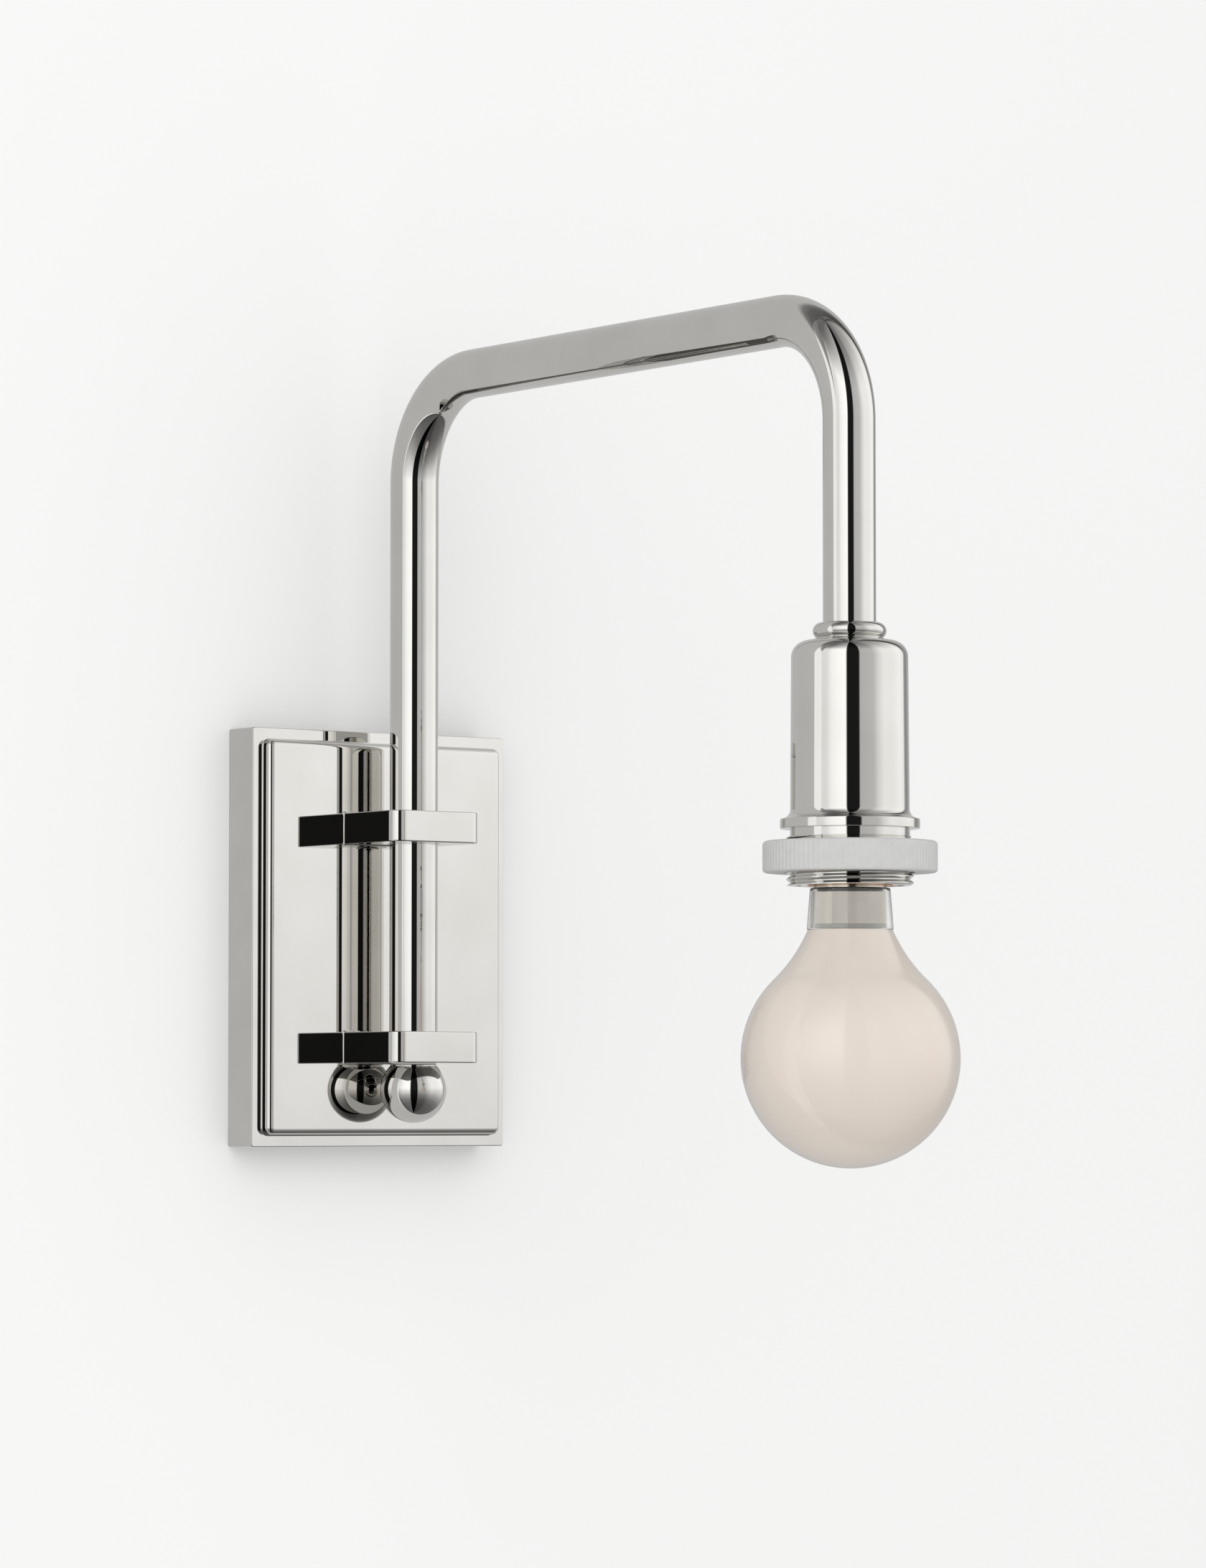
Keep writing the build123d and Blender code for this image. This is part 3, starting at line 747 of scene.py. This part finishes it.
def makeCup(sizes):
    top, bottom, flange = cupHigh.z, cupLow.z, cupHigh.x
    shoulder = sizes["shoulder"]
    centre = (sizes["waist"] - shoulder, top - shoulder)
    rimTop = bottom + sizes["rim"]
    outline = [(sizes["bore"], top), (centre[0] - sizes["topRing"], top)]
    outline += arc(centre, shoulder, 90, 0, sizes["shoulderSteps"])
    outline.append((sizes["foot"], sizes["footLevel"] + sizes["footRun"]))
    flare = sizes["flare"]
    flareCentre = (sizes["foot"] + flare, rimTop + flare)
    outline += arc(flareCentre, flare, *sizes["flareArc"], sizes["flareSteps"])
    lip = sizes["lip"]
    outline += arc((flange - lip, rimTop - lip), lip, 90, 0, sizes["lipSteps"])
    edge, inner = sizes["rimEdge"], sizes["foot"] - sizes["wall"]
    outline += [(flange, bottom + edge), (flange - edge, bottom), (inner, bottom)]
    outline += [(inner, sizes["footLevel"]), (sizes["waist"] - sizes["wall"], centre[1])]
    outline += arc(centre, shoulder - sizes["wall"], 0, 90, sizes["innerSteps"])[1:]
    outline.append((sizes["bore"], top - sizes["wall"]))
    return smoothed(turnPiece("socketCup", outline, lampY, sizes["around"]), angle=30)


finished(makeCup(cupSizes), "swing_arm", "polished_nickel", finishes["nickel"], "socket_cup")

sleeveSizes = {
    "pitch": 0.00245,
    "neck": 0.0214,
    "bore": 0.0195,
    "tenon": 0.0201,
    "tenonTop": 0.0405,
    "cut": 0.0296,
    "around": 128,
    "crestFlat": 0.0003,
    "runout": 0.0003,
    "moreTurns": 4,
}


def makeSleeve(sizes):
    low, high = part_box("threaded_sleeve")
    crest, pitch = high.x, sizes["pitch"]
    root = crest - pitch / 2
    # one turn of the thread's profile, carried up by a screw
    deselectAll()
    bpy.ops.mesh.primitive_plane_add(size=0.001, location=(root, lampY, low.z - pitch))
    sleeve = named("threadedSleeve")
    bpy.ops.object.mode_set(mode="EDIT")
    bpy.ops.mesh.select_mode(type="VERT")
    bpy.ops.mesh.select_all(action="SELECT")
    bpy.ops.mesh.merge(type="CENTER")
    flat = sizes["crestFlat"]
    slope = (pitch - 2 * flat) / 2
    depth = crest - root
    for outward, upward in ((0, flat / 2), (depth, slope), (0, flat), (-depth, slope), (0, flat / 2)):
        extrudeBy(outward, 0, upward)
    bpy.ops.object.mode_set(mode="OBJECT")
    bpy.context.scene.cursor.location = (0, lampY, 0)
    bpy.ops.object.origin_set(type="ORIGIN_CURSOR")
    turns = int((sizes["cut"] - low.z) / pitch) + sizes["moreTurns"]
    useModifier(
        sleeve,
        "SCREW",
        axis="Z",
        angle=2 * pi,
        screw_offset=pitch,
        iterations=turns,
        steps=sizes["around"],
        render_steps=sizes["around"],
        use_merge_vertices=True,
        use_smooth_shade=True,
    )
    placed(cleaned(sleeve, 1e-6))
    # cut square at the foot and at the runout
    for level, below in ((low.z, True), (sizes["cut"], False)):
        pick(sleeve, "VERT", lambda point: True)
        bpy.ops.mesh.bisect(
            plane_co=(0, 0, level),
            plane_no=(0, 0, 1),
            clear_inner=below,
            clear_outer=not below,
            threshold=1e-7,
        )
        bpy.ops.object.mode_set(mode="OBJECT")
    # foot face, bore and the plain neck, each bridged from a circle
    axis = Vector((0, lampY))
    boreRings = [(sizes["bore"], low.z), (sizes["bore"], sizes["tenonTop"])]
    neckRings = [
        (sizes["neck"], sizes["cut"] + sizes["runout"]),
        (sizes["neck"], cupLow.z),
        (sizes["tenon"], cupLow.z),
        (sizes["tenon"], sizes["tenonTop"]),
    ]
    for level, rings in ((low.z, boreRings), (sizes["cut"], neckRings)):
        choose(sleeve)
        bpy.ops.object.mode_set(mode="EDIT")
        bpy.ops.mesh.select_all(action="DESELECT")
        radius, ringLevel = rings[0]
        addCircle(sizes["around"], radius, lampY, ringLevel)
        growRings(rings, lampY)
        bpy.ops.object.mode_set(mode="OBJECT")

        def onRims(a, b):
            flat = any(near(a.z, z, 2e-6) and near(b.z, z, 2e-6) for z in (level, ringLevel))
            return flat and (a.xy - axis).length > radius - 1e-5

        pick(sleeve, "EDGE", onRims)
        bpy.ops.mesh.bridge_edge_loops()
        bpy.ops.object.mode_set(mode="OBJECT")
    # the bore's top meets the tenon's top
    end = sizes["tenonTop"]
    pick(sleeve, "EDGE", lambda a, b: near(a.z, end) and near(b.z, end))
    bpy.ops.mesh.bridge_edge_loops()
    bpy.ops.object.mode_set(mode="OBJECT")
    return smoothed(cleaned(sleeve, 1e-6), angle=30)


finished(makeSleeve(sleeveSizes), "swing_arm", "polished_nickel", finishes["nickel"], "threaded_sleeve")
print("lamp holder made")


# shade ring
ringSizes = {
    "ribs": 100,
    "columns": 8,
    "ribDepth": 0.00016,
    "topEdge": 0.0015,
    "bottomEdge": 0.0011,
    "boreEdge": 0.0005,
    "topSteps": 8,
    "bottomSteps": 7,
    "boreSteps": 4,
    "clearance": 0.0003,
    "bandEdge": 0.55,
}


def makeShadeRing(sizes):
    low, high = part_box("shade_ring")
    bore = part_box("threaded_sleeve")[1].x + sizes["clearance"]
    outer = high.x
    topEdge, bottomEdge, boreEdge = sizes["topEdge"], sizes["bottomEdge"], sizes["boreEdge"]
    boreSteps = sizes["boreSteps"]
    outline = arc((bore + boreEdge, high.z - boreEdge), boreEdge, 180, 90, boreSteps)
    outline += arc((outer - topEdge, high.z - topEdge), topEdge, 90, 0, sizes["topSteps"])
    outline += arc((outer - bottomEdge, low.z + bottomEdge), bottomEdge, 0, -90, sizes["bottomSteps"])
    outline += arc((bore + boreEdge, low.z + boreEdge), boreEdge, -90, -180, boreSteps)
    columns = sizes["columns"]
    ring = turnPiece("shadeRing", outline, lampY, columns * sizes["ribs"])
    bandEdge = sizes["bandEdge"]
    bandLow, bandHigh = low.z + bottomEdge * bandEdge, high.z - topEdge * bandEdge
    rib = 2 * pi / sizes["ribs"]

    def onColumn(point, column):
        # whether the point is in the outer band, this many columns from the middle of a groove
        outward = point.xy - Vector((0, lampY))
        if outward.length < outer - topEdge or not bandLow < point.z < bandHigh:
            return False
        share = (outward.angle_signed(Vector((0, 1))) / rib) % 1
        return round(min(share, 1 - share) * columns) == column

    # the outside is pressed in column by column, which leaves fine upright ribs
    for column in range(columns // 2):
        pick(ring, "VERT", lambda point: onColumn(point, column))
        depth = sizes["ribDepth"] * (1 + cos(2 * pi * column / columns)) / 2
        ratio = 1 - depth / outer
        bpy.ops.transform.resize(value=(ratio, ratio, 1), center_override=(0, lampY, 0))
        bpy.ops.object.mode_set(mode="OBJECT")
    return smoothed(ring, angle=60)


finished(makeShadeRing(ringSizes), "ring", "off_white_ring", finishes["offWhite"], "shade_ring")
print("shade ring made")


# globe lamp
globeSizes = {
    "neck": 0.0152,
    "wall": 0.001,
    "tangent": 45.7,
    "around": 160,
    "arcSteps": 72,
    "neckSteps": 20,
    "poleAngle": -89.9,
    "pole": 1e-7,
}


def makeGlobe(sizes):
    low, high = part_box("bulb_glass")
    radius = high.x
    centre = low.z + radius
    turn = radians(sizes["tangent"])
    start = Vector((radius * cos(turn), centre + radius * sin(turn)))
    end = Vector((sizes["neck"], high.z))
    # the neck is an arc that leaves the globe along its tangent
    side = Vector((cos(turn), sin(turn)))
    chord = end - start
    bendRadius = chord.length_squared / (2 * chord.dot(side))
    middle = start + side * bendRadius
    first, last = start - middle, end - middle
    sweep = first.angle_signed(last)
    outline = []
    for i in range(sizes["neckSteps"]):
        point = middle + Matrix.Rotation(-sweep * (1 - i / sizes["neckSteps"]), 2) @ first
        outline.append((point.x, point.y))
    outline += arc((0, centre), radius, sizes["tangent"], sizes["poleAngle"], sizes["arcSteps"])
    outline.append((sizes["pole"], low.z))
    globe = turnPiece("bulbGlobe", outline, lampY, sizes["around"], closed=False)
    useModifier(globe, "SOLIDIFY", thickness=sizes["wall"], offset=-1)
    return smoothed(globe)


finished(makeGlobe(globeSizes), "lamp", "opal_glass", finishes["opal"], "bulb_glass")

neckSizes = {
    "top": 0.0144,
    "bottom": 0.0155,
    "bore": 0.0131,
    "mouth": 0.0136,
    "boreTop": 0.0101,
    "edge": 0.0005,
    "edgeSteps": 5,
    "around": 128,
}


def makeNeckCollar(sizes):
    low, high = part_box("bulb_collar")
    edge = sizes["edge"]
    outline = [(sizes["bore"], low.z)]
    outline += arc((sizes["bottom"] - edge, low.z + edge), edge, -90, 0, sizes["edgeSteps"])
    outline += arc((sizes["top"] - edge, high.z - edge), edge, 0, 90, sizes["edgeSteps"])
    outline += [(sizes["mouth"], high.z), (sizes["bore"], sizes["boreTop"])]
    return smoothed(turnPiece("bulbCollar", outline, lampY, sizes["around"]), angle=30)


finished(makeNeckCollar(neckSizes), "lamp", "clear_plastic", finishes["clear"], "bulb_collar")

sinkSizes = {"wall": 0.001, "edge": 0.0003, "edgeSteps": 4, "around": 128}


def makeHeatsink(sizes):
    low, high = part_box("bulb_heatsink")
    radius, edge = high.x, sizes["edge"]
    inner = radius - sizes["wall"]
    outline = [(inner, low.z)]
    outline += arc((radius - edge, low.z + edge), edge, -90, 0, sizes["edgeSteps"])
    outline += arc((radius - edge, high.z - edge), edge, 0, 90, sizes["edgeSteps"])
    outline.append((inner, high.z))
    return smoothed(turnPiece("bulbHeatsink", outline, lampY, sizes["around"]), angle=30)


finished(makeHeatsink(sinkSizes), "lamp", "brushed_aluminium", finishes["brushed"], "bulb_heatsink")
print("globe lamp made")


# camera
cameraSizes = {
    "lens": 134.4,
    "sensor": 36.0,
    "place": (-1.3257, -1.9229, -0.0673),
    "azimuth": 37.0,
    "rise": 3.18,
}


def makeCamera(sizes):
    lens = bpy.data.cameras.new("productCamera")
    lens.lens = sizes["lens"]
    lens.sensor_width = sizes["sensor"]
    camera = bpy.data.objects.new("productCamera", lens)
    bpy.context.scene.collection.objects.link(camera)
    camera.location = sizes["place"]
    camera.rotation_euler = (radians(90 + sizes["rise"]), 0, -radians(sizes["azimuth"]))
    bpy.context.scene.camera = camera


makeCamera(cameraSizes)

# studio
studioSizes = {
    "wallGap": 0.0004,
    "wallReach": 3.0,
    "holeInset": 0.002,
    "floor": -1.0,
    "floorReach": 200.0,
    "backdrop": (0.93, 0.93, 0.925, 1),
    "sky": (0.90, 0.905, 0.90, 1),
    "full": 1.5,
    "even": 0.97,
    "fadeStart": 0.5,
    "sideFade": 4.0,
    "bounce": 1.5,
}
softBox = {"size": 3.0, "power": 23.0, "place": (-1.7, -2.3, 0.7), "aim": (0.0, 0.0, 0.05)}
# how bright the tent is round the object, by the angle from the lens, as a share of full
tentRound = [
    (-180, 0.52), (-120, 0.60), (-82, 0.66), (-76, 0.84), (-66, 0.84), (-60, 0.68), (-48, 0.70),
    (-38, 0.88), (-26, 0.95), (-10, 1.0), (-8, 0.01), (15.5, 0.01), (18, 0.42), (45, 0.47),
    (56, 0.66), (68, 0.80), (90, 0.80), (112, 0.88), (127, 0.78), (131, 0.26), (140, 0.26),
    (144, 0.55), (180, 0.52),
]
# and by its height above the horizon
tentUp = [
    (-90, 0.10), (-70, 0.10), (-46, 0.13), (-32, 0.20), (-19, 0.38), (-8, 0.66), (-1, 0.82), (3.5, 0.97),
    (9, 1.0), (28, 1.0), (35, 0.90), (45, 0.72), (55, 0.53), (65, 0.41), (75, 0.30), (90, 0.14),
]


def readRamp(tree, stops, ends, value, spread):
    # a grey by stops from -ends to ends, while the value goes from -spread to spread
    ramp = tree.nodes.new("ShaderNodeValToRGB")
    elements = ramp.color_ramp.elements
    while len(elements) > 1:
        elements.remove(elements[0])
    for i, (stop, grey) in enumerate(stops):
        place = (stop + ends) / (2 * ends)
        element = elements[0] if i == 0 else elements.new(place)
        element.position = place
        element.color = (grey, grey, grey, 1)
    along = mathNode(tree, "MULTIPLY_ADD", value, 0.5 / spread, 0.5)
    tree.links.new(along, ramp.inputs["Fac"])
    return ramp.outputs["Color"]


def makeWorld(sizes):
    world = bpy.data.worlds.new("studioTent")
    bpy.context.scene.world = world
    world.use_nodes = True
    tree = world.node_tree
    link = tree.links.new
    direction = tree.nodes.new("ShaderNodeTexCoord").outputs["Generated"]
    turn = tree.nodes.new("ShaderNodeVectorRotate")
    turn.rotation_type = "Z_AXIS"
    turn.inputs["Angle"].default_value = radians(cameraSizes["azimuth"])
    link(direction, turn.inputs["Vector"])
    split = tree.nodes.new("ShaderNodeSeparateXYZ")
    link(turn.outputs["Vector"], split.inputs["Vector"])
    toLens = mathNode(tree, "MULTIPLY", split.outputs["Y"], -1.0)
    bearing = mathNode(tree, "ARCTAN2", split.outputs["X"], toLens)
    height = mathNode(tree, "ARCSINE", split.outputs["Z"])
    byBearing = readRamp(tree, tentRound, 180, bearing, pi)
    byHeight = readRamp(tree, tentUp, 90, height, pi / 2)
    # high up on the left it falls away sooner
    above = mathNode(tree, "SUBTRACT", split.outputs["Z"], sizes["fadeStart"])
    high = mathNode(tree, "MAXIMUM", above, 0.0)
    toLeft = mathNode(tree, "MULTIPLY", split.outputs["X"], -1.0)
    leftward = mathNode(tree, "MAXIMUM", toLeft, 0.0)
    corner = mathNode(tree, "MULTIPLY", high, leftward)
    fall = mathNode(tree, "MULTIPLY", corner, sizes["sideFade"])
    left = mathNode(tree, "SUBTRACT", 1.0, fall, clamp=True)
    tent = tree.nodes["Background"]
    link(mathNode(tree, "MULTIPLY", left, sizes["full"]), tent.inputs["Strength"])
    link(multiplied(tree, byBearing, byHeight), tent.inputs["Color"])
    plain = tree.nodes.new("ShaderNodeBackground")
    plain.inputs["Color"].default_value = sizes["sky"]
    even = tree.nodes.new("ShaderNodeBackground")
    even.inputs["Color"].default_value = sizes["sky"]
    even.inputs["Strength"].default_value = sizes["even"]
    seen = tree.nodes.new("ShaderNodeLightPath")
    shown = even.outputs["Background"]
    for ray, light in (("Is Glossy Ray", tent), ("Is Transmission Ray", tent), ("Is Camera Ray", plain)):
        mix = tree.nodes.new("ShaderNodeMixShader")
        link(seen.outputs[ray], mix.inputs["Fac"])
        link(shown, mix.inputs[1])
        link(light.outputs["Background"], mix.inputs[2])
        shown = mix.outputs["Shader"]
    link(shown, tree.nodes["World Output"].inputs["Surface"])


def oneSided(name, makeShader):
    # a staged sheet that is not seen from behind
    material = bpy.data.materials.new(name)
    material.use_nodes = True
    tree = material.node_tree
    tree.nodes.remove(tree.nodes["Principled BSDF"])
    front = makeShader(tree)
    clear = tree.nodes.new("ShaderNodeBsdfTransparent")
    side = tree.nodes.new("ShaderNodeNewGeometry")
    mix = tree.nodes.new("ShaderNodeMixShader")
    tree.links.new(side.outputs["Backfacing"], mix.inputs["Fac"])
    tree.links.new(front, mix.inputs[1])
    tree.links.new(clear.outputs["BSDF"], mix.inputs[2])
    tree.links.new(mix.outputs["Shader"], tree.nodes["Material Output"].inputs["Surface"])
    return material


def plainPaint(tree):
    shader = tree.nodes.new("ShaderNodeBsdfDiffuse")
    shader.inputs["Color"].default_value = studioSizes["backdrop"]
    return shader.outputs["BSDF"]


# brightness of the wall as the metal sees it, by metres along it: the wall's light and shade painted as
# glow on a sheet that is no lamp
wallBounce = [
    (-3.0, 1.2), (-0.80, 1.2), (-0.76, 0.64), (0, 0.60), (0.40, 0.60), (0.73, 0.46), (1.33, 0.34),
    (2.5, 0.30), (3.0, 0.9),
]

# and how it fades, by metres up it
wallFade = [(-3.0, 0.85), (0.0, 1.0), (0.78, 1.0), (0.95, 0.42), (1.3, 0.25), (3.0, 0.2)]


def bounceLight(tree):
    place = tree.nodes.new("ShaderNodeTexCoord")
    split = tree.nodes.new("ShaderNodeSeparateXYZ")
    tree.links.new(place.outputs["Object"], split.inputs["Vector"])
    reach, bounce = studioSizes["wallReach"], studioSizes["bounce"]
    shares = [(x, value / bounce) for x, value in wallBounce]
    byWidth = readRamp(tree, shares, reach, split.outputs["X"], reach)
    byRise = readRamp(tree, wallFade, reach, split.outputs["Z"], reach)
    shader = tree.nodes.new("ShaderNodeEmission")
    shader.inputs["Strength"].default_value = bounce
    tree.links.new(multiplied(tree, byWidth, byRise), shader.inputs["Color"])
    # other rays see the sheet glow plain white, as painted bounce light from the wall
    white = tree.nodes.new("ShaderNodeEmission")
    white.inputs["Color"].default_value = studioSizes["sky"]
    seen = tree.nodes.new("ShaderNodeLightPath")
    mix = tree.nodes.new("ShaderNodeMixShader")
    tree.links.new(seen.outputs["Is Glossy Ray"], mix.inputs["Fac"])
    tree.links.new(white.outputs["Emission"], mix.inputs[1])
    tree.links.new(shader.outputs["Emission"], mix.inputs[2])
    return mix.outputs["Shader"]


def makeWallSheet(name, gap, sizes, material):
    # a sheet behind the plate, with an opening that the plate covers
    deselectAll()
    opening = (plateHigh - plateLow) / 2 - Vector((sizes["holeInset"], 0, sizes["holeInset"]))
    bpy.ops.mesh.primitive_plane_add(size=2, location=(0, gap, 0), rotation=(pi / 2, 0, 0))
    sheet = named(name)
    sheet.scale = (opening.x, opening.z, 1)
    placed(sheet)
    pick(sheet, "EDGE", lambda a, b: True)
    bpy.ops.mesh.extrude_region_move()
    reach = sizes["wallReach"]
    grow = (reach / opening.x, 1, reach / opening.z)
    bpy.ops.transform.resize(value=grow, center_override=(0, gap, 0))
    pick(sheet, "FACE", lambda centre, normal: near(centre.length, gap))
    bpy.ops.mesh.delete(type="FACE")
    pick(sheet, "FACE", lambda centre, normal: normal.y > 0)
    bpy.ops.mesh.flip_normals()
    bpy.ops.object.mode_set(mode="OBJECT")
    sheet.data.materials.append(material)
    return sheet


def makeStudio(sizes):
    # the lens sees one wall, and the polished metal sees another, a glowing sheet with the wall's light
    # and shade painted on it
    gap = sizes["wallGap"]
    seenWall = makeWallSheet("backdropWall", gap, sizes, oneSided("backdropPaint", plainPaint))
    seenWall.visible_diffuse = False
    seenWall.visible_glossy = False
    bounceWall = makeWallSheet("bounceWall", 2 * gap, sizes, oneSided("wallBounce", bounceLight))
    bounceWall.visible_camera = False
    bounceWall.visible_transmission = False
    bounceWall.visible_shadow = False
    deselectAll()
    bpy.ops.mesh.primitive_plane_add(size=sizes["floorReach"], location=(0, 0, sizes["floor"]))
    floor = placed(named("studioFloor"))
    material = bpy.data.materials.new("floorPaint")
    material.use_nodes = True
    paint = material.node_tree.nodes["Principled BSDF"]
    paint.inputs["Base Color"].default_value = sizes["backdrop"]
    paint.inputs["Roughness"].default_value = 0.9
    floor.data.materials.append(material)
    floor.visible_glossy = False
    floor.visible_diffuse = False


def makeSoftBox(sizes):
    light = bpy.data.lights.new("softBox", "AREA")
    light.size = sizes["size"]
    light.energy = sizes["power"]
    lamp = bpy.data.objects.new("softBox", light)
    bpy.context.scene.collection.objects.link(lamp)
    lamp.location = sizes["place"]
    heading = Vector(sizes["aim"]) - Vector(sizes["place"])
    lamp.rotation_euler = heading.to_track_quat("-Z", "Y").to_euler()
    lamp.visible_camera = False
    lamp.visible_glossy = False
    lamp.visible_transmission = False


makeWorld(studioSizes)
makeStudio(studioSizes)
makeSoftBox(softBox)
bpy.context.scene.view_settings.view_transform = "Standard"
print("studio made")
